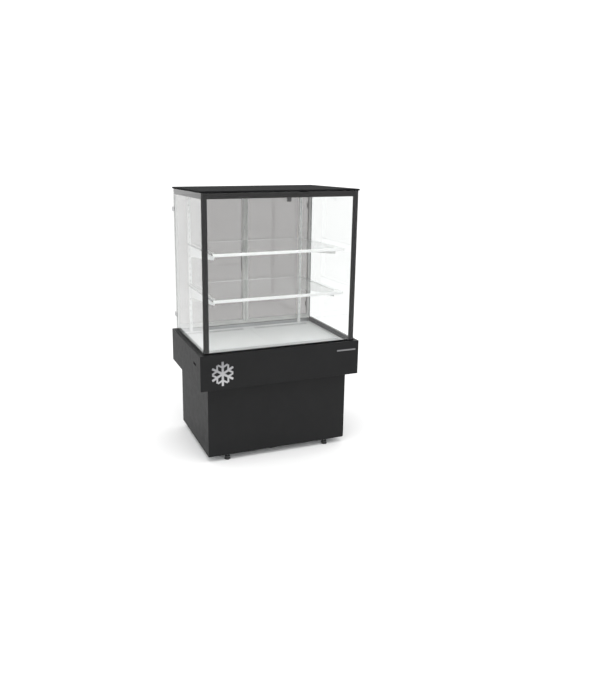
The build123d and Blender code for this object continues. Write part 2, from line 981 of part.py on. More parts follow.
with BuildPart() as front_grille:
    grille_x = inner_x - deck_margin
    block(-grille_x, grille_x, inner_front + deck_margin, deck_split, deck_ledge, deck_top)
    slot_count = int(2 * (inner_x - slot_border) / grille_pitch)
    with BuildSketch(Plane.XY.offset(deck_ledge)):
        with Locations((0, y_at((front_slot_front + front_slot_back) / 2))):
            with GridLocations(grille_pitch, 1, slot_count, 1):
                SlotOverall(front_slot_back - front_slot_front, slot_width, rotation=90)
    extrude(amount=deck_top - deck_ledge, mode=Mode.SUBTRACT)
save(front_grille, "front_grille")

# ---- generic silver mark: a six-armed frost star and a plain bar -------------------------
mark_x = -369
mark_z = 564
mark_arm = 72
arm_width = 13
branch_start = 38
branch_width = 10
branch_length = 34
branch_angle = 60
bar_x = 416
bar_z = 627
bar_length = 126
bar_width = 9
badge_chamfer = 0.35
with BuildPart() as badge:
    with BuildSketch(front_plane(mark_x, 0, mark_z)):
        for arm in range(3):
            Rectangle(2 * mark_arm, arm_width, rotation=30 + 60 * arm)
        with PolarLocations(branch_start, 6, start_angle=30):
            for turn in (-branch_angle, branch_angle):
                Rectangle(branch_length, branch_width, rotation=turn, align=(Align.MIN, Align.CENTER))
    extrude(amount=badge_proud)
    with BuildSketch(front_plane(bar_x, 0, bar_z)):
        SlotOverall(bar_length, bar_width)
    extrude(amount=badge_proud)
    chamfer(badge.edges().group_by(Axis.Y)[0], length=badge_chamfer)
save(badge, "badge")

# ---- glass case -------------------------------------------------------------------------
rail_lip = 2.5
rail_leg = 2.5
rail_step = 3
leg_clear = 1
with BuildPart() as glass_rail:
    outer_x = half_glass + rail_lip
    lip_top = rail_top - rail_step
    leg_low = deck_top + leg_clear
    block(-outer_x, outer_x, glass_front - rail_lip, frame_front, body_top, lip_top)
    block(-half_glass, half_glass, glass_front, frame_front, glass_foot, lip_top, mode=Mode.SUBTRACT)
    block(-glass_inside, glass_inside, pane_back, frame_front, leg_low, rail_top)
    leg_x = glass_inside - rail_leg
    block(-leg_x, leg_x, pane_back + rail_leg, frame_front, leg_low, rail_top, mode=Mode.SUBTRACT)
    block(-outer_x, outer_x, inner_back - leg_clear, frame_front, leg_low, body_top, mode=Mode.SUBTRACT)
save(glass_rail, "glass_rail")

with BuildPart() as front_glass:
    block(-half_glass, half_glass, glass_front, pane_back, glass_foot, lid_bottom)
save(front_glass, "front_glass")

for side in (-1, 1):
    with BuildPart() as side_glass:
        edge = sorted((side * glass_inside, side * half_glass))
        block(*edge, pane_back, frame_front, glass_foot, lid_bottom)
    save(side_glass, f"{side_name(side)}_glass")

side_margin = 9
with BuildPart() as glass_borders:
    inside = glass_inside - band_thickness
    block(-inside, inside, pane_back, pane_back + band_thickness, rail_top, lid_bottom)
    block(
        -half_glass + band,
        half_glass - band,
        pane_back,
        pane_back + band_thickness,
        rail_top,
        lid_bottom - band,
        mode=Mode.SUBTRACT,
    )
    for side in (-1, 1):
        face = sorted((side * inside, side * glass_inside))
        block(*face, pane_back, frame_front, rail_top, lid_bottom)
        block(
            *face,
            pane_back + side_margin,
            frame_front - side_margin,
            rail_top,
            lid_bottom - band,
            mode=Mode.SUBTRACT,
        )
save(glass_borders, "glass_borders")

lid_rim = 13
lid_front_rim = 21
lid_rear_gap = 2
lid_corner = 2
lid_top_edge = 1.2
lid_low_edge = 0.8
with BuildPart() as top_panel:
    block(-lid_width / 2, lid_width / 2, lid_front, lid_back, lid_bottom, overall_height)
    fillet(top_panel.edges().filter_by(Axis.Z), radius=lid_corner)
    fillet(top_panel.edges().group_by(Axis.Z)[-1], radius=lid_top_edge)
    fillet(top_panel.edges().group_by(Axis.Z)[0], radius=lid_low_edge)
    block(
        -lid_width / 2 + lid_rim,
        lid_width / 2 - lid_rim,
        lid_front + lid_front_rim,
        frame_front - lid_rear_gap,
        lid_bottom,
        overall_height - sheet,
        mode=Mode.SUBTRACT,
    )
save(top_panel, "top_panel")

lamp_gap = 3
lamp_front = pane_back + band_thickness + lamp_gap
lamp_depth = 26
lamp_half = 440
lamp_wall = 2
lamp_roof = 3
lamp_bottom = lid_bottom - 26
lens_proud = 3
lens_top = 9
lens_fillet = 5
with BuildPart() as lamp_housing:
    block(-lamp_half, lamp_half, lamp_front, lamp_front + lamp_depth, lamp_bottom, overall_height - sheet)
    block(
        -lamp_half + lamp_wall,
        lamp_half - lamp_wall,
        lamp_front + lamp_wall,
        lamp_front + lamp_depth - lamp_wall,
        lamp_bottom,
        overall_height - sheet - lamp_roof,
        mode=Mode.SUBTRACT,
    )
save(lamp_housing, "lamp_housing")

with BuildPart() as lamp_diffuser:
    block(
        -lamp_half + lamp_wall,
        lamp_half - lamp_wall,
        lamp_front + lamp_wall,
        lamp_front + lamp_depth - lamp_wall,
        lamp_bottom - lens_proud,
        lamp_bottom + lens_top,
    )
    fillet(lamp_diffuser.edges().filter_by(Axis.X).group_by(Axis.Z)[0], radius=lens_fillet)
save(lamp_diffuser, "lamp_diffuser")

opening_half = half_glass - 20
opening_low = body_top + 12
with BuildPart() as rear_frame:
    block(-half_glass, half_glass, frame_front, door_front, body_top, lid_bottom)
    block(
        -opening_half,
        opening_half,
        frame_front,
        door_front,
        opening_low,
        lid_bottom - band,
        mode=Mode.SUBTRACT,
    )
save(rear_frame, "rear_frame")

leaf = 3
leaf_reach = 34
knuckle_radius = 5
knuckle_gap = 0.4
knuckle_cut = 9
knuckle_margin = 1
third = hinge_height / 6
with BuildPart() as hinge_brackets:
    for side in (-1, 1):
        axis_x = side * hinge_x
        leaf_x = sorted((side * half_glass, side * (half_glass + leaf)))
        for z in hinge_heights:
            low = z - hinge_height / 2
            high = z + hinge_height / 2
            block(*leaf_x, hinge_back - leaf_reach, hinge_back, low, high)
            rod(axis_x, hinge_back, low, high, knuckle_radius)
            block(
                axis_x - knuckle_cut,
                axis_x + knuckle_cut,
                hinge_back - knuckle_radius - knuckle_margin,
                hinge_back + knuckle_radius + knuckle_margin,
                z - third - knuckle_gap,
                z + third + knuckle_gap,
                mode=Mode.SUBTRACT,
            )
            rod(axis_x, hinge_back, low, high, hinge_pin_radius)
save(hinge_brackets, "hinge_brackets")


def door_rectangle(side, inset, back0, back1, mode=Mode.ADD):
    """A slab over a whole door, set in from its edges, in the part being built."""
    free = side * (door_gap / 2 + inset)
    hung = side * (half_glass - door_clear - inset)
    block(*sorted((free, hung)), back0, back1, door_bottom + inset, door_top - inset, mode=mode)


seal_inset = 3
seal_width = 10
profile_front = door_front + door_seal_depth
groove = 6
pane_front = profile_front + (door_depth - glass_thickness) / 2
door_corner = 2
plate_near = 4
plate_far = 28
bridge_reach = 10
handle_radius = 5
handle_bend = 14
for side in (-1, 1):
    name = side_name(side)
    with BuildPart() as door_frame:
        door_rectangle(side, 0, profile_front, door_face)
        fillet(door_frame.edges().filter_by(Axis.Y), radius=door_corner)
        door_rectangle(side, stile, profile_front, door_face, Mode.SUBTRACT)
        door_rectangle(side, stile - groove, pane_front, pane_front + glass_thickness, Mode.SUBTRACT)
    save(door_frame, f"{name}_door_frame")

    with BuildPart() as door_glass:
        door_rectangle(side, stile - groove, pane_front, pane_front + glass_thickness)
    save(door_glass, f"{name}_door_glass")

    with BuildPart() as door_seal:
        door_rectangle(side, seal_inset, door_front, profile_front)
        door_rectangle(side, seal_inset + seal_width, door_front, profile_front, Mode.SUBTRACT)
    save(door_seal, f"{name}_door_seal")

    with BuildPart() as door_hinges:
        axis_x = side * hinge_x
        plate = sorted((side * (half_glass - plate_near), side * (half_glass - plate_far)))
        bridge = sorted((axis_x, side * (half_glass - bridge_reach)))
        for z in hinge_heights:
            low = z - hinge_height / 2
            high = z + hinge_height / 2
            block(*plate, door_face, door_face + leaf, low, high)
            block(*bridge, door_face, door_face + leaf, z - third, z + third)
            rod(axis_x, hinge_back, z - third, z + third, knuckle_radius)
            rod(axis_x, hinge_back, z - third, z + third, hinge_pin_radius + pin_clearance, Mode.SUBTRACT)
    save(door_hinges, f"{name}_door_hinges")

    handle_x = side * (door_gap / 2 + stile / 2)
    low = handle_middle - handle_length / 2
    high = handle_middle + handle_length / 2
    with BuildPart() as door_handle:
        with BuildLine() as grip:
            FilletPolyline(
                (handle_x, y_at(door_face), low),
                (handle_x, y_at(rear_reach - handle_radius), low),
                (handle_x, y_at(rear_reach - handle_radius), high),
                (handle_x, y_at(door_face), high),
                radius=handle_bend,
            )
        with BuildSketch(upright_plane(handle_x, door_face, low)):
            Circle(handle_radius)
        sweep(path=grip.wires()[0])
    save(door_handle, f"{name}_door_handle")

# ---- shelving ---------------------------------------------------------------------------
post_width = 16
post_wall = 2
post_gap = 1
post_back = inner_back - post_gap
post_top = overall_height - sheet
slot_pitch = 40
slot_rows = 21
slot_across = 5
slot_tall = 16
with BuildPart() as shelf_uprights:
    for side in (-1, 1):
        x0 = side * post_x - post_width / 2
        x1 = side * post_x + post_width / 2
        block(x0, x1, post_front, post_back, deck_top, post_top)
        block(
            x0 + post_wall,
            x1 - post_wall,
            post_front + post_wall,
            post_back,
            deck_top,
            post_top,
            mode=Mode.SUBTRACT,
        )
    with BuildSketch(upright_plane(0, post_front, (deck_top + lid_bottom) / 2)):
        with GridLocations(2 * post_x, slot_pitch, 2, slot_rows):
            Rectangle(slot_across, slot_tall)
    extrude(amount=post_wall, mode=Mode.SUBTRACT)
save(shelf_uprights, "shelf_uprights")

bracket_root = 81
bracket_tip = 33
bracket_flange = 6
bracket_nose = 5
flange_thickness = 2
with BuildPart() as shelf_brackets:
    for top in shelf_tops:
        under = top - shelf_thickness
        for side in (-1, 1):
            start = side * post_x - bracket_thickness / 2
            with BuildSketch(Plane.YZ.offset(start)):
                with BuildLine():
                    Polyline(
                        (y_at(bracket_front), under),
                        (y_at(post_front), under),
                        (y_at(post_front), under - bracket_root),
                        (y_at(bracket_front + bracket_nose), under - bracket_tip),
                        (y_at(bracket_front), under - bracket_tip + bracket_nose),
                        close=True,
                    )
                make_face()
            extrude(amount=bracket_thickness)
            block(
                start - bracket_flange,
                start + bracket_thickness + bracket_flange,
                bracket_front,
                post_front,
                under - flange_thickness,
                under,
            )
save(shelf_brackets, "shelf_brackets")

with BuildPart() as shelf_panes:
    for top in shelf_tops:
        block(-shelf_half, shelf_half, shelf_front, shelf_back, top - shelf_thickness, top)
save(shelf_panes, "shelf_panes")

edge_height = 16
edge_wrap = 7
edge_wall = 2
edge_nose = 4
edge_fillet = 1.2
with BuildPart() as shelf_edges:
    for top in shelf_tops:
        block(
            -shelf_half,
            shelf_half,
            shelf_front - edge_nose,
            shelf_front + edge_wrap,
            top + edge_wall - edge_height,
            top + edge_wall,
        )
        block(
            -shelf_half,
            shelf_half,
            shelf_front,
            shelf_front + edge_wrap,
            top - shelf_thickness,
            top,
            mode=Mode.SUBTRACT,
        )
        block(
            -shelf_half,
            shelf_half,
            shelf_front,
            shelf_front + edge_wrap,
            top + edge_wall - edge_height,
            top - shelf_thickness - edge_wall,
            mode=Mode.SUBTRACT,
        )
    fillet(shelf_edges.edges().filter_by(Axis.X).group_by(Axis.Y)[0], radius=edge_fillet)
save(shelf_edges, "shelf_edges")
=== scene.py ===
"""Looks for the refrigerated deli case: materials, small hardware, light and camera round the CAD frame."""

import json
import math

import bmesh
import bpy
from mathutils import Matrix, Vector


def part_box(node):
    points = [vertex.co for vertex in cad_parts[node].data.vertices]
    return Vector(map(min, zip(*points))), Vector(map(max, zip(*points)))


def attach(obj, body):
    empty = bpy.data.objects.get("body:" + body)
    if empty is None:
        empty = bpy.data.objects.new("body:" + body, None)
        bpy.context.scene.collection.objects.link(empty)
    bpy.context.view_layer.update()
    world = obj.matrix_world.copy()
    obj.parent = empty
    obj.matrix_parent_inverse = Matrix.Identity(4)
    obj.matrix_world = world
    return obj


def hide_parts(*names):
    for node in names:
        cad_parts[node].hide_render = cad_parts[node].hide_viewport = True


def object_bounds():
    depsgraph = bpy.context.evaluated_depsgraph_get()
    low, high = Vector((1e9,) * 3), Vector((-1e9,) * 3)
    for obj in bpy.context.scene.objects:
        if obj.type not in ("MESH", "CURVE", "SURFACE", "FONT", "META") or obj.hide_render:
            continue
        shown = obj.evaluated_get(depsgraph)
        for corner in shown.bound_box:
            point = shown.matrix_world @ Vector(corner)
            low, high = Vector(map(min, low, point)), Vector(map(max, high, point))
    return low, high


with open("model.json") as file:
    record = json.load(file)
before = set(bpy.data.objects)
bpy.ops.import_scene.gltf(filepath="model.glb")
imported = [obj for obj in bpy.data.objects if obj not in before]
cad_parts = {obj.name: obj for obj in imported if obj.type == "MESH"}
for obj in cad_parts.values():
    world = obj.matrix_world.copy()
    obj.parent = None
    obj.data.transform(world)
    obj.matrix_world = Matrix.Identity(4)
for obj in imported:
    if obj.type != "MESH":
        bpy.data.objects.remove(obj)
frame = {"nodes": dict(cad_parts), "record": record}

cad_low, cad_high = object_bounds()
nodes = frame["nodes"]


# ---- node-tree helpers ---------------------------------------------------------------------
class Shader:
    """A Principled material with object coordinates in metres and short ways to add its detail."""

    def __init__(self, name, color, roughness=0.5, metallic=0.0, specular=0.5):
        self.material = bpy.data.materials.new(name)
        self.material.use_nodes = True
        self.tree = self.material.node_tree
        self.bsdf = self.tree.nodes["Principled BSDF"]
        self.coords = self.node("ShaderNodeTexCoord").outputs["Object"]
        self.set("Base Color", (*color, 1))
        self.set("Roughness", roughness)
        self.set("Metallic", metallic)
        self.set("Specular IOR Level", specular)

    def node(self, kind, **settings):
        """A new node; each setting is one of its properties or the value of one of its sockets."""
        made = self.tree.nodes.new(kind)
        for key, value in settings.items():
            if hasattr(made, key):
                setattr(made, key, value)
            else:
                made.inputs[key.replace("_", " ")].default_value = value
        return made

    def link(self, a, b):
        self.tree.links.new(a, b)

    def set(self, socket, value):
        self.bsdf.inputs[socket].default_value = value

    def stretched(self, scale):
        """Object coordinates scaled along each axis, for brushed or ribbed textures."""
        mapping = self.node("ShaderNodeMapping")
        mapping.inputs["Scale"].default_value = scale
        self.link(self.coords, mapping.inputs["Vector"])
        return mapping.outputs["Vector"]

    def noise(self, scale, detail=3.0, roughness=0.5, coords=None):
        """Noise with about that many cells to a metre, or to a unit of the given coordinates."""
        made = self.node("ShaderNodeTexNoise", Scale=scale, Detail=detail, Roughness=roughness)
        self.link(coords or self.coords, made.inputs["Vector"])
        return made.outputs["Fac"]

    def cells(self, scale, output):
        """Voronoi cells, by their distance or by a colour for each."""
        made = self.node("ShaderNodeTexVoronoi", Scale=scale)
        self.link(self.coords, made.inputs["Vector"])
        return made.outputs[output]

    def math(self, operation, *values):
        """A Math node whose inputs are linked or set in order."""
        made = self.node("ShaderNodeMath", operation=operation)
        for socket, value in zip(made.inputs, values):
            if isinstance(value, bpy.types.NodeSocket):
                self.link(value, socket)
            else:
                socket.default_value = value
        return made.outputs["Value"]

    def ramp(self, value, *stops):
        """A colour or grey that runs through (position, tone) stops, lowest first."""
        made = self.node("ShaderNodeValToRGB")
        elements = made.color_ramp.elements
        for position, _ in stops[2:]:
            elements.new(position)
        for element, (position, tone) in zip(elements, stops):
            element.position = position
            element.color = (*tone, 1) if isinstance(tone, tuple) else (tone, tone, tone, 1)
        self.link(value, made.inputs["Fac"])
        return made.outputs["Color"]

    def vary_color(self, value, low, high, start=0.3, end=0.7):
        self.link(self.ramp(value, (start, low), (end, high)), self.bsdf.inputs["Base Color"])

    def vary_roughness(self, value, low, high, start=0.3, end=0.7):
        self.link(self.ramp(value, (start, low), (end, high)), self.bsdf.inputs["Roughness"])

    def bump(self, value, depth, strength):
        """Adds relief of that depth in metres; later calls add to earlier ones."""
        made = self.node("ShaderNodeBump", Distance=depth, Strength=strength)
        self.link(value, made.inputs["Height"])
        normal = self.bsdf.inputs["Normal"]
        if normal.is_linked:
            self.link(normal.links[0].from_socket, made.inputs["Normal"])
        self.link(made.outputs["Normal"], normal)


# ---- materials: dark, light and rough are the two ends that each one wanders between --------------
def powder_coat(name, dark, light, rough, specular=0.5, grain=1.0):
    """Fine-textured polyester powder coat: slight mottling, handling marks and orange peel."""
    shader = Shader(name, dark, specular=specular)
    shader.vary_color(shader.noise(7, detail=4), dark, light)
    shader.vary_roughness(shader.noise(26, detail=5, roughness=0.6), *rough)
    shader.bump(shader.noise(900, detail=2), depth=0.00005 * grain, strength=0.5)
    shader.bump(shader.noise(150, detail=2), depth=0.00008 * grain, strength=0.25)
    return shader.material


def zinc_sheet():
    """Hot-dip galvanised steel with its spangle, its tones kept below bare zinc as painted shade."""
    shader = Shader("zinc_sheet", (0.5, 0.52, 0.53), metallic=0.9)
    spangle = shader.cells(110, "Color")
    shader.vary_color(spangle, (0.22, 0.235, 0.24), (0.42, 0.435, 0.44), start=0.1, end=0.9)
    shader.vary_roughness(spangle, 0.32, 0.55, start=0.2, end=0.8)
    shader.bump(shader.noise(60), depth=0.0001, strength=0.3)
    return shader.material


def brushed_metal(name, dark, light, rough, grain):
    """Brushed or anodised metal whose grain runs along the axis that grain stretches least."""
    shader = Shader(name, dark, metallic=1.0)
    lines = shader.noise(1.0, detail=4, roughness=0.6, coords=shader.stretched(grain))
    shader.vary_color(lines, dark, light, start=0.25, end=0.75)
    shader.vary_roughness(lines, *rough, start=0.25, end=0.75)
    shader.bump(lines, depth=0.00003, strength=0.5)
    return shader.material


def badge_metal():
    """Brushed badge plate with a painted reflection, dark at the mark's top and bright at its foot, with a
    duller bar at the right.
    """
    slope, unevenness = -0.35, 0.05
    bar_place, bright_reflection_place, dark_reflection_place = 0.56, 0.655, 0.79
    shader = Shader("badge_steel", (0.5, 0.5, 0.51), metallic=1.0)
    lines = shader.noise(1.0, detail=4, roughness=0.6, coords=shader.stretched((6, 900, 900)))
    place = shader.node("ShaderNodeSeparateXYZ")
    shader.link(shader.coords, place.inputs["Vector"])
    drop = shader.math("MULTIPLY", place.outputs["X"], slope)
    height = shader.math("ADD", place.outputs["Z"], drop)
    # The ramp paints a reflection on the mark: dark at its top, bright at its foot, tilted by slope.
    tone = shader.ramp(
        shader.math("MULTIPLY_ADD", lines, unevenness, height),
        (bar_place, (0.22, 0.22, 0.225)),
        (bright_reflection_place, (0.50, 0.50, 0.51)),
        (dark_reflection_place, (0.24, 0.24, 0.25)),
    )
    shader.link(tone, shader.bsdf.inputs["Base Color"])
    shader.vary_roughness(lines, 0.25, 0.38, start=0.25, end=0.75)
    shader.bump(lines, depth=0.00003, strength=0.5)
    return shader.material


def glass(name, tint, body_tint, density):
    """Float glass, tinted in its thickness, with a trace of wiping marks; lamps shine through it."""
    loss, streaks = 0.96, (1, 1, 3)
    shader = Shader(name, tint, roughness=0.0)
    shader.set("Transmission Weight", 1.0)
    shader.set("IOR", 1.5)
    wiping = shader.noise(5, detail=6, roughness=0.65, coords=shader.stretched(streaks))
    shader.vary_roughness(wiping, 0.0, 0.025, start=0.5, end=0.9)
    shader.vary_color(shader.noise(3), tint, tuple(channel * 0.985 for channel in tint))
    absorb = shader.node("ShaderNodeVolumeAbsorption", Density=density, Color=(*body_tint, 1))
    output = shader.tree.nodes["Material Output"]
    shader.link(absorb.outputs["Volume"], output.inputs["Volume"])
    clear_color = (*(loss * math.sqrt(channel) for channel in tint), 1)
    clear = shader.node("ShaderNodeBsdfTransparent", Color=clear_color)
    mix = shader.node("ShaderNodeMixShader")
    shader.link(shader.node("ShaderNodeLightPath").outputs["Is Shadow Ray"], mix.inputs["Fac"])
    shader.link(shader.bsdf.outputs["BSDF"], mix.inputs[1])
    shader.link(clear.outputs["BSDF"], mix.inputs[2])
    shader.link(mix.outputs["Shader"], output.inputs["Surface"])
    return shader.material


def plastic(name, dark, light, rough, grain=700, specular=0.5):
    """Moulded plastic with a fine spark texture."""
    shader = Shader(name, dark, specular=specular)
    shader.vary_color(shader.noise(40, detail=4), dark, light)
    shader.vary_roughness(shader.noise(90, detail=4), *rough)
    shader.bump(shader.noise(grain, detail=2), depth=0.00006, strength=0.6)
    return shader.material


def black_print():
    """Black ceramic print fired on the inside of a pane: even, with pinholes at the finest scale."""
    shader = Shader("black_print", (0.012, 0.012, 0.013))
    pinholes = shader.noise(350, detail=2)
    shader.vary_color(pinholes, (0.010, 0.010, 0.011), (0.018, 0.018, 0.019), start=0.35, end=0.65)
    shader.vary_roughness(shader.noise(60), 0.35, 0.5)
    shader.bump(shader.noise(1200, detail=2), depth=0.00002, strength=0.4)
    return shader.material


def lamp_lens():
    """Frosted opal acrylic over the light bar, lit from inside."""
    shader = Shader("lamp_lens", (0.93, 0.93, 0.91), roughness=0.45)
    shader.vary_color(shader.noise(200, detail=2), (0.90, 0.90, 0.88), (0.95, 0.95, 0.94))
    shader.set("Emission Color", (1.0, 0.98, 0.94, 1))
    shader.set("Emission Strength", 16.0)
    shader.bump(shader.noise(900, detail=2), depth=0.00004, strength=0.4)
    return shader.material


def foam():
    """Poured polyurethane foam with its cells."""
    shader = Shader("foam", (0.78, 0.68, 0.42), roughness=0.9, specular=0.2)
    shader.vary_color(shader.noise(20, detail=5), (0.70, 0.58, 0.33), (0.82, 0.74, 0.50))
    shader.bump(shader.cells(500, "Distance"), depth=0.0004, strength=0.7)
    return shader.material


def fins():
    """Thin aluminium fins with rippled edges and a little grey dust."""
    shader = Shader("fins", (0.6, 0.61, 0.63), metallic=0.85)
    shader.vary_color(shader.noise(30, detail=5), (0.40, 0.41, 0.42), (0.68, 0.69, 0.71))
    shader.vary_roughness(shader.noise(70, detail=4), 0.3, 0.55)
    ripples = shader.noise(1.0, detail=2, coords=shader.stretched((30, 900, 30)))
    shader.bump(ripples, depth=0.0003, strength=0.5)
    return shader.material


def copper():
    """Drawn copper pipe, bright with brown oxide in patches."""
    shader = Shader("copper", (0.7, 0.33, 0.2), metallic=1.0)
    oxide = shader.noise(25, detail=5)
    shader.vary_color(oxide, (0.36, 0.16, 0.10), (0.78, 0.40, 0.26), start=0.35, end=0.6)
    shader.vary_roughness(shader.noise(60, detail=4), 0.25, 0.5)
    shader.bump(shader.noise(300), depth=0.00006, strength=0.3)
    return shader.material


def rubber():
    """Soft grey seal rubber, dull, with paler rubbed patches."""
    shader = Shader("seal_rubber", (0.62, 0.62, 0.61), specular=0.35)
    shader.vary_color(shader.noise(35, detail=5), (0.56, 0.56, 0.55), (0.66, 0.66, 0.65))
    shader.vary_roughness(shader.noise(50), 0.6, 0.8)
    shader.bump(shader.noise(600), depth=0.00008, strength=0.5)
    return shader.material


def display_face():
    """Smoked window of the controller."""
    shader = Shader("display_face", (0.02, 0.005, 0.005), roughness=0.15)
    shader.vary_color(shader.noise(300, detail=2), (0.012, 0.004, 0.004), (0.02, 0.007, 0.007))
    return shader.material


def display_light():
    """Lit red segments of the temperature display, slightly uneven along each bar."""
    shader = Shader("display_light", (0.6, 0.05, 0.03), roughness=0.4)
    shader.vary_color(shader.noise(900, detail=2), (0.5, 0.03, 0.02), (0.75, 0.08, 0.05))
    shader.set("Emission Color", (1.0, 0.08, 0.04, 1))
    shader.set("Emission Strength", 2.5)
    return shader.material


finishes = {
    "black_paint": powder_coat(
        "black_paint", (0.0080, 0.0082, 0.0086), (0.0094, 0.0096, 0.0100), (0.50, 0.58), specular=0.17
    ),
    "cabinet_paint": powder_coat(
        "cabinet_paint", (0.0074, 0.0076, 0.0080), (0.0088, 0.0090, 0.0094), (0.50, 0.58), specular=0.19
    ),
    # lid_paint is a matte copy of the black paint with a slightly darker base, a painted shade against the
    # overhead softbox.
    "lid_paint": powder_coat(
        "lid_paint", (0.0070, 0.0072, 0.0077), (0.0085, 0.0087, 0.0092), (0.78, 0.84), specular=0.045
    ),
    "white_tray": powder_coat("white_tray", (0.86, 0.865, 0.87), (0.90, 0.905, 0.91), (0.35, 0.5)),
    "white_profile": powder_coat(
        "white_profile", (0.90, 0.90, 0.90), (0.94, 0.94, 0.94), (0.3, 0.42), grain=0.5
    ),
    "pale_profile": powder_coat(
        "pale_profile", (0.62, 0.62, 0.615), (0.67, 0.67, 0.665), (0.36, 0.48), grain=0.7
    ),
    "compressor_paint": powder_coat(
        "compressor_paint", (0.006, 0.006, 0.007), (0.012, 0.012, 0.013), (0.2, 0.34), grain=3.0
    ),
    "galvanised": zinc_sheet(),
    "steel_liner": brushed_metal(
        "steel_liner", (0.42, 0.42, 0.43), (0.62, 0.62, 0.63), (0.28, 0.42), grain=(4, 500, 500)
    ),
    "black_rail": brushed_metal(
        "black_rail", (0.010, 0.010, 0.011), (0.016, 0.016, 0.017), (0.36, 0.44), grain=(60, 60, 900)
    ),
    "silver_profile": brushed_metal(
        "silver_profile", (0.46, 0.47, 0.48), (0.62, 0.63, 0.64), (0.3, 0.42), grain=(700, 700, 6)
    ),
    "satin_steel": brushed_metal(
        "satin_steel", (0.45, 0.45, 0.46), (0.66, 0.66, 0.67), (0.2, 0.34), grain=(900, 900, 8)
    ),
    "badge_steel": badge_metal(),
    "fin_aluminium": fins(),
    "copper": copper(),
    "clear_glass": glass("clear_glass", (0.995, 1.0, 0.998), (0.72, 0.95, 0.88), density=3.0),
    # door_pane: the dark, faintly pink tint is partly the rear panes' grey and partly painted shade, with a
    # painted pink bounce light from red goods.
    "door_pane": glass("door_pane", (0.312, 0.302, 0.298), (0.6, 0.62, 0.62), density=6.0),
    "black_print": black_print(),
    "lamp_lens": lamp_lens(),
    "seal_rubber": rubber(),
    "foam": foam(),
    "black_plastic": plastic("black_plastic", (0.010, 0.010, 0.011), (0.018, 0.018, 0.019), (0.4, 0.55)),
    # switch_plastic is darker and duller than the black paint round it: painted shade of the recess the
    # switch sits in.
    "switch_plastic": plastic(
        "switch_plastic", (0.0035, 0.0035, 0.0038), (0.006, 0.006, 0.0065), (0.6, 0.75), specular=0.03
    ),
    "key_plastic": plastic("key_plastic", (0.16, 0.17, 0.18), (0.22, 0.23, 0.25), (0.4, 0.55)),
    "foot_rubber": plastic("foot_rubber", (0.012, 0.012, 0.013), (0.022, 0.022, 0.023), (0.5, 0.7)),
    "drain_plastic": plastic("drain_plastic", (0.34, 0.35, 0.36), (0.42, 0.43, 0.44), (0.45, 0.6)),
    "bead_silicone": plastic(
        "bead_silicone", (0.010, 0.010, 0.011), (0.016, 0.016, 0.017), (0.3, 0.42), grain=300
    ),
    "display_face": display_face(),
    "display_light": display_light(),
}


# ---- the CAD nodes: their finishes and softened edges ----------------------------------------------
unsoftened_slots = {"fin_aluminium", "foam"}
glass_slots = {"clear_glass", "door_pane"}
slot_of = {part["node"]: part["material_slot"] for part in frame["record"]["subparts"]}
own_finish = {"top_panel": "lid_paint", "switch_bezel": "switch_plastic", "rocker_switch": "switch_plastic"}


def soften(piece, width, segments=2):
    """Rounds the sharp edges of a piece a little and keeps its flat faces flat."""
    weld = piece.modifiers.new("weld", "WELD")
    weld.merge_threshold = 1e-6
    bevel = piece.modifiers.new("soft_edge", "BEVEL")
    bevel.width = width
    bevel.segments = segments
    bevel.limit_method = "ANGLE"
    bevel.angle_limit = math.radians(40)
    bevel.use_clamp_overlap = True


def finish_node(name):
    """Gives a CAD node its material and rounds its sharp edges."""
    piece = nodes[name]
    slot = slot_of[name]
    piece.data.materials.clear()
    piece.data.materials.append(finishes[own_finish.get(name, slot)])
    if slot in glass_slots:
        soften(piece, 0.0008, 1)
    elif slot not in unsoftened_slots:
        soften(piece, 0.0004)


for name in nodes:
    finish_node(name)


# ---- mesh helpers for the pieces that the CAD leaves out -------------------------------------------
def connect(bm, rings, closed=False):
    """Quads between closed rings of points; the last joins the first if closed, or else both get a cap."""
    rows = [[bm.verts.new(point) for point in ring] for ring in rings]
    count = len(rows[0])
    pairs = list(zip(rows, rows[1:])) + ([(rows[-1], rows[0])] if closed else [])
    for low, high in pairs:
        for i in range(count):
            j = (i + 1) % count
            bm.faces.new((low[i], low[j], high[j], high[i]))
    if not closed:
        bm.faces.new(rows[0][::-1])
        bm.faces.new(rows[-1])


def add_piece(name, bm, finish, body, smooth_angle=None, bevel=None):
    """Turns a bmesh into an object that rides on a CAD body."""
    bmesh.ops.recalc_face_normals(bm, faces=bm.faces)
    mesh = bpy.data.meshes.new(name)
    bm.to_mesh(mesh)
    bm.free()
    mesh.materials.append(finishes[finish])
    piece = bpy.data.objects.new(name, mesh)
    bpy.context.scene.collection.objects.link(piece)
    if smooth_angle:
        mesh.shade_smooth()
        mesh.set_sharp_from_angle(angle=math.radians(smooth_angle))
    if bevel:
        soften(piece, bevel)
    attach(piece, body)
    return piece


def axes(normal):
    """A normal's unit vector after two directions square to it and to each other."""
    n = Vector(normal).normalized()
    side = Vector((0, 0, 1)) if abs(n.z) < 0.9 else Vector((1, 0, 0))
    u = side.cross(n).normalized()
    return u, n.cross(u), n


def turned(bm, place, normal, profile, count=32, closed=False):
    """A turned shape: profile lists (radius, height) from one end to the other."""
    u, v, n = axes(normal)
    rings = []
    for radius, height in profile:
        ring = []
        for i in range(count):
            angle = 2 * math.pi * i / count
            ring.append(Vector(place) + (u * math.cos(angle) + v * math.sin(angle)) * radius + n * height)
        rings.append(ring)
    connect(bm, rings, closed)


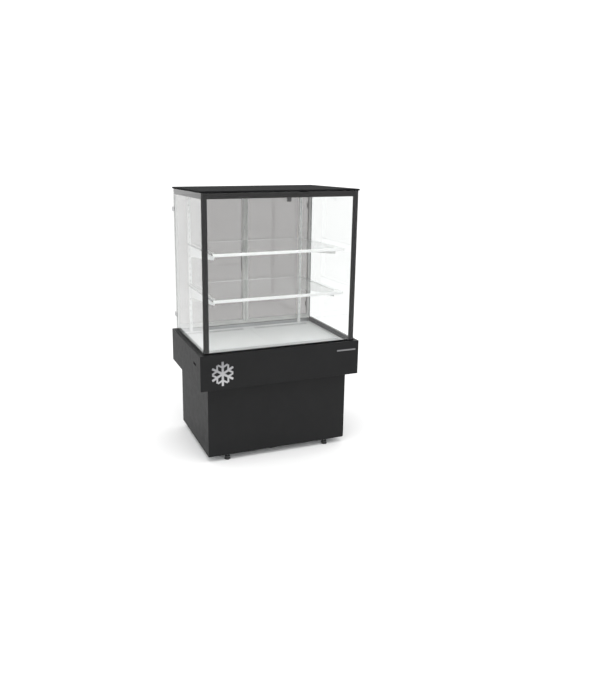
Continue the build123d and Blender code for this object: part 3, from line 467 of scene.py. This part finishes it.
def screw(bm, place, normal, radius):
    """A button-head screw with a hexagon socket."""
    u, v, n = axes(normal)
    count = 24
    socket = radius * 0.46
    height = radius * 0.5

    def ring(size, lift, hexagon=False):
        points = []
        for i in range(count):
            angle = 2 * math.pi * i / count
            reach = size
            if hexagon:
                reach = size / math.cos((angle % (math.pi / 3)) - math.pi / 6) * math.cos(math.pi / 6)
            points.append(Vector(place) + (u * math.cos(angle) + v * math.sin(angle)) * reach + n * lift)
        return points

    dome = [(1.0, 0.0), (1.0, 0.25), (0.93, 0.55), (0.80, 0.80), (0.62, 0.96)]
    rings = [ring(radius * r, height * h) for r, h in dome]
    rings += [ring(socket, height, True), ring(socket * 0.96, height * 0.3, True)]
    connect(bm, rings)


def screws(name, body, places, normal, radius):
    bm = bmesh.new()
    for place in places:
        screw(bm, place, normal, radius)
    add_piece(name, bm, "satin_steel", body, smooth_angle=35)


def rounded_outline(x0, x1, y0, y1, radius, steps=4):
    """Points round a rectangle with round corners."""
    corners = (
        (x1 - radius, y1 - radius, 0),
        (x0 + radius, y1 - radius, 90),
        (x0 + radius, y0 + radius, 180),
        (x1 - radius, y0 + radius, 270),
    )
    points = []
    for cx, cy, start in corners:
        for i in range(steps + 1):
            angle = math.radians(start + 90 * i / steps)
            points.append((cx + radius * math.cos(angle), cy + radius * math.sin(angle)))
    return points


# ---- hardware --------------------------------------------------------------------------------------
HINGE_HEIGHTS = (0.775, 1.450)


def panel_places(low, high, inset):
    """Four screw places along the bottom and four along the top of a panel's rear face."""
    columns = (low.x + inset, low.x / 3, high.x / 3, high.x - inset)
    return [(x, high.y, z) for z in (low.z + inset, high.z - inset) for x in columns]


def panel_screws():
    """Button-head screws of the rear grille and the rear apron."""
    radius, grille_inset, apron_inset = 0.0042, 0.010, 0.017
    low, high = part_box("rear_grille")
    places = panel_places(low, high, grille_inset)
    middle = (low.z + high.z) / 2
    places += [(x, high.y, middle) for x in (low.x + grille_inset, high.x - grille_inset)]
    screws("grille_screws", "case", places, (0, 1, 0), radius)
    places = panel_places(*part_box("rear_apron"), apron_inset)
    screws("apron_screws", "case", places, (0, 1, 0), radius)


def leaf_screws():
    """Screws of the hinge leaves on the sides of the case."""
    radius, leaf_recess, from_edge, rise = 0.0032, 0.0035, 0.009, 0.007
    low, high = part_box("hinge_brackets")
    for side, face, outward in (("left", low.x + leaf_recess, -1), ("right", high.x - leaf_recess, 1)):
        places = [(face, low.y + from_edge, z + dz) for z in HINGE_HEIGHTS for dz in (-rise, rise)]
        screws(f"{side}_leaf_screws", "case", places, (outward, 0, 0), radius)


def door_details(side):
    """Screws of the hinge plates and rosettes at the ends of the pull, on one door."""
    radius, plate_inset, plate_thickness, rise = 0.003, 0.0065, 0.003, 0.008
    flange_width, rim, lip, thickness = 0.0035, 0.0026, 0.0012, 0.0024
    low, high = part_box(f"{side}_door_hinges")
    inner = high.x - plate_inset if side == "left" else low.x + plate_inset
    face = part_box(f"{side}_door_frame")[1].y + plate_thickness
    places = [(inner, face, z + dz) for z in HINGE_HEIGHTS for dz in (-rise, rise)]
    screws(f"{side}_plate_screws", f"{side}_door", places, (0, 1, 0), radius)
    low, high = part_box(f"{side}_door_handle")
    middle = (low.x + high.x) / 2
    grip = (high.x - low.x) / 2
    outer = grip + flange_width
    flange = [(grip, 0), (outer, 0), (outer, lip), (grip + rim, 0.0021), (grip, thickness)]
    bm = bmesh.new()
    for z in (low.z + grip, high.z - grip):
        turned(bm, (middle, low.y, z), (0, 1, 0), flange, closed=True)
    add_piece(f"{side}_pull_rosettes", bm, "satin_steel", f"{side}_door", smooth_angle=35)


def gasket(side):
    """A magnetic door gasket: bellows profile swept round the door with mitred corners."""
    low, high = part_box(f"{side}_door_seal")
    depth = high.y - low.y
    # across the seal in millimetres, and the share of its depth
    profile = (
        (0.0, 0.0), (0.15, 0.3), (0.7, 0.62), (1.5, 0.5), (2.2, 0.42), (2.9, 0.62), (3.1, 0.88),
        (3.6, 1.0), (7.6, 1.0), (8.1, 0.88), (8.3, 0.62), (9.0, 0.4), (9.7, 0.3), (10.0, 0.0),
    )
    corners = ((low.x, low.z, 1, 1), (high.x, low.z, -1, 1), (high.x, high.z, -1, -1), (low.x, high.z, 1, -1))
    rings = []
    for across, rise in profile:
        inset = across / 1000
        y = high.y - depth * rise
        rings.append([Vector((x + sx * inset, y, z + sz * inset)) for x, z, sx, sz in corners])
    bm = bmesh.new()
    connect(bm, rings, closed=True)
    piece = add_piece(f"{side}_gasket", bm, "seal_rubber", f"{side}_door")
    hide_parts(f"{side}_door_seal")


def foot_details(end, side):
    """Hexagon collar and threaded stem of one levelling foot."""
    node = f"foot_{end}_{side}"
    body = f"{end}_{side}_foot"
    low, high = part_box(node)
    base = Vector(((low.x + high.x) / 2, (low.y + high.y) / 2, 0))

    flats = 0.0145
    chamfer = 0.93
    corner = flats / math.cos(math.pi / 6)
    hexagon = [math.radians(60 * i + 15) for i in range(6)]
    rings = []
    for share, z in ((chamfer, 0.0128), (1.0, 0.0138), (1.0, 0.0202), (chamfer, 0.0212)):
        radius = corner * share
        rings.append([base + Vector((radius * math.cos(a), radius * math.sin(a), z)) for a in hexagon])
    bm = bmesh.new()
    connect(bm, rings)
    add_piece(f"{node}_collar", bm, "foot_rubber", body, bevel=0.0005)

    crest, root, pitch = 0.0063, 0.0056, 0.0018
    z, top = 0.0226, 0.058
    profile = [(0.0052, 0.0221)]
    while z < top:
        profile += [(crest, z), (crest, z + 0.0003), (root, z + 0.0009), (root, z + 0.0012)]
        z += pitch
    bm = bmesh.new()
    turned(bm, base, (0, 0, 1), profile, count=28)
    add_piece(f"{node}_thread", bm, "satin_steel", body)


def corner_beads():
    """Black silicone in the inside corners between the front and side panes."""
    leg, top_gap = 0.0045, 0.001
    arc = [math.radians(180 + 15 * i) for i in range(7)]
    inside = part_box("front_glass")[1]
    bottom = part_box("glass_rail")[1].z
    side_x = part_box("right_glass")[0].x
    for name, side in (("left", -1), ("right", 1)):
        corner = Vector((side * side_x, inside.y, 0))
        centre = corner + Vector((-side * leg, leg, 0))
        outline = [corner]
        outline += [centre + Vector((-side * leg * math.cos(a), leg * math.sin(a), 0)) for a in arc]
        bm = bmesh.new()
        connect(bm, [[p + Vector((0, 0, z)) for p in outline] for z in (bottom, inside.z - top_gap)])
        add_piece(f"{name}_corner_bead", bm, "bead_silicone", "case", smooth_angle=40)


def air_sensor():
    """A louvred black cage over the air sensor, hung under the head of the rear frame at the right."""
    x0, x1 = 0.284, 0.317
    depth, gap = 0.014, 0.0003
    head, height, cap, base = 0.033, 0.062, 0.012, 0.006
    pitch, blade, slope, slot_end = 0.0062, 0.0032, 0.0036, 0.0058
    frame_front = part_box("rear_frame")[0].y
    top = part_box("top_panel")[0].z - head
    y0, y1 = frame_front - depth, frame_front - gap
    full = rounded_outline(x0, x1, y0, y1, 0.004)
    waist = rounded_outline(x0 + 0.002, x1 - 0.002, y0 + 0.002, y1 - 0.0004, 0.003)
    rings = []
    z = top - height
    while z < top - base:
        for outline, lift in ((full, 0.0), (full, blade), (waist, slope), (waist, slot_end)):
            rings.append([Vector((x, y, z + lift)) for x, y in outline])
        z += pitch
    for lift in (0.0, cap):
        rings.append([Vector((x, y, z + lift)) for x, y in full])
    bm = bmesh.new()
    connect(bm, rings)
    add_piece("air_sensor_cage", bm, "black_plastic", "case", smooth_angle=35)


def air_straightener():
    """A black lattice under the front air slots that straightens the cold air on its way out; its black also
    paints the shade that shows through the slots.
    """
    pitch_x, pitch_y, wall = 0.014, 0.0135, 0.0012
    cells_x, cells_y = 62, 10
    setback, height, gap = 0.0145, 0.0125, 0.0003
    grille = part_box("front_grille")[0]
    x0 = -(cells_x * pitch_x + wall) / 2
    y0 = grille.y + setback
    lines_x = [x0 + i * pitch_x + step for i in range(cells_x + 1) for step in (0, wall)]
    lines_y = [y0 + j * pitch_y + step for j in range(cells_y + 1) for step in (0, wall)]
    bm = bmesh.new()
    lower, upper = (
        [[bm.verts.new((x, y, z)) for y in lines_y] for x in lines_x]
        for z in (grille.z - height, grille.z - gap)
    )

    def is_wall(i, j):
        inside = 0 <= i < len(lines_x) - 1 and 0 <= j < len(lines_y) - 1
        return inside and not (i % 2 and j % 2)

    for i in range(len(lines_x) - 1):
        for j in range(len(lines_y) - 1):
            if not is_wall(i, j):
                continue
            corners = ((i, j), (i + 1, j), (i + 1, j + 1), (i, j + 1))
            bm.faces.new([lower[a][b] for a, b in corners[::-1]])
            bm.faces.new([upper[a][b] for a, b in corners])
            for k, neighbour in enumerate(((i, j - 1), (i + 1, j), (i, j + 1), (i - 1, j))):
                if not is_wall(*neighbour):
                    (a, b), (c, d) = corners[k], corners[(k + 1) % 4]
                    bm.faces.new((lower[a][b], lower[c][d], upper[c][d], upper[a][b]))
    add_piece("air_straightener", bm, "black_plastic", "case")


def lit_bar(bm, a, b, width, levels):
    """One lit bar with pointed ends from a to b in (x, z), between two levels in y."""
    along = (Vector(b) - Vector(a)).normalized()
    across = Vector((-along.y, along.x))
    gap = along * width * 0.12
    a, b = Vector(a) + gap, Vector(b) - gap
    half = width / 2
    outline = [
        a, a + along * half + across * half, b - along * half + across * half,
        b, b - along * half - across * half, a + along * half - across * half,
    ]
    connect(bm, [[Vector((p.x, y, p.y)) for p in outline] for y in levels])


def display():
    """Smoked window and lit digits of the temperature controller, read from behind the case."""
    low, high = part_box("controller")
    key_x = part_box("key_up")[0].x
    face = high.y
    z_mid = (low.z + high.z) / 2
    x0, x1 = key_x - 0.0495, key_x - 0.0079
    half_height, corner = 0.0106, 0.0012
    rings = []
    for inset, sunk in ((0, 0.00095), (0, 0.0004), (0.0003, 0.0002)):
        edges = (x0 + inset, x1 - inset, z_mid - half_height + inset, z_mid + half_height - inset)
        rings.append([Vector((x, face - sunk, z)) for x, z in rounded_outline(*edges, corner)])
    bm = bmesh.new()
    connect(bm, rings)
    add_piece("display_window", bm, "display_face", "case")

    width, height, bar, lean = 0.0076, 0.0140, 0.0017, 0.10
    first, step, point_gap, point_half = 0.0112, 0.0125, 0.0024, 0.0011
    levels = (face - 0.0002, face - 0.00008)
    segments = {
        "top": ((0, 1), (1, 1)),
        "middle": ((0, 0.5), (1, 0.5)),
        "low": ((0, 0), (1, 0)),
        "upper_left": ((0, 0.5), (0, 1)),
        "upper_right": ((1, 0.5), (1, 1)),
        "lower_left": ((0, 0), (0, 0.5)),
        "lower_right": ((1, 0), (1, 0.5)),
    }
    three = ("top", "middle", "low", "upper_right", "lower_right")
    zero = ("top", "low", "upper_left", "upper_right", "lower_left", "lower_right")
    middle = (x0 + x1) / 2
    bm = bmesh.new()
    for index, digit in enumerate((three, zero)):
        start = middle + first - index * step
        for name in digit:
            ends = []
            for across, up in segments[name]:
                z = z_mid - height / 2 + up * height
                ends.append((start - across * width - lean * (z - z_mid), z))
            lit_bar(bm, *ends, bar, levels)
    point_x = middle + first - width - point_gap
    foot = z_mid - height / 2
    lit_bar(bm, (point_x + point_half, foot), (point_x - point_half, foot), bar, levels)
    add_piece("display_digits", bm, "display_light", "case")


panel_screws()
leaf_screws()
for side in ("left", "right"):
    door_details(side)
    gasket(side)
    for end in ("front", "rear"):
        foot_details(end, side)
corner_beads()
air_sensor()
air_straightener()
display()


# ---- stage, light and camera -----------------------------------------------------------------------
def stage_floor():
    """A wide pale floor that the case stands on."""
    bpy.ops.mesh.primitive_grid_add(x_subdivisions=8, y_subdivisions=8, size=60, location=(0, 0, -0.0005))
    floor = bpy.context.object
    floor.name = "floor"
    shader = Shader("floor_paint", (0.9, 0.9, 0.9), roughness=0.9, specular=0.1)
    shader.vary_color(shader.noise(0.8, detail=2), (0.895, 0.895, 0.895), (0.905, 0.905, 0.905))
    floor.data.materials.append(shader.material)


def softbox(name, place, target, size, power):
    """A square area lamp at a place, turned to a target."""
    light = bpy.data.lights.new(name, "AREA")
    light.shape = "SQUARE"
    light.size = size
    light.energy = power
    lamp = bpy.data.objects.new(name, light)
    lamp.location = place
    lamp.rotation_euler = (Vector(target) - Vector(place)).to_track_quat("-Z", "Y").to_euler()
    bpy.context.scene.collection.objects.link(lamp)


def studio():
    """Even white surroundings with one overhead softbox, a little to the left and front."""
    world = bpy.data.worlds.new("studio")
    world.use_nodes = True
    background = world.node_tree.nodes["Background"]
    background.inputs["Color"].default_value = (1, 1, 1, 1)
    background.inputs["Strength"].default_value = 1.25
    bpy.context.scene.world = world
    softbox("overhead", place=(-0.4, -1.6, 4.2), target=(0, 0, 0.8), size=3.0, power=65)


def photo_camera():
    """The camera of the reference view: 20 degrees to the left, looking 13 degrees down."""
    azimuth = math.radians(-19.985)
    pitch = math.radians(13.228)
    badge_depth = 0.0015
    aside, distance, height = -1.41664, 3.35408, 1.74806
    look = Vector(
        (-math.sin(azimuth) * math.cos(pitch), math.cos(azimuth) * math.cos(pitch), -math.sin(pitch))
    )
    lens = bpy.data.cameras.new("photo_camera")
    lens.sensor_width = 36
    lens.lens = 33.62
    lens.shift_x = 0.0702
    lens.shift_y = -0.0504
    lens.clip_end = 200
    camera = bpy.data.objects.new("photo_camera", lens)
    body_front = cad_low.y + badge_depth
    camera.location = (aside, body_front - distance, height)
    camera.rotation_euler = look.to_track_quat("-Z", "Y").to_euler()
    bpy.context.scene.collection.objects.link(camera)
    bpy.context.scene.camera = camera


stage_floor()
studio()
photo_camera()
bpy.context.scene.view_settings.view_transform = "Standard"
bounces = bpy.context.scene.cycles
bounces.max_bounces = 20
bounces.transmission_bounces = 20
bounces.transparent_max_bounces = 16
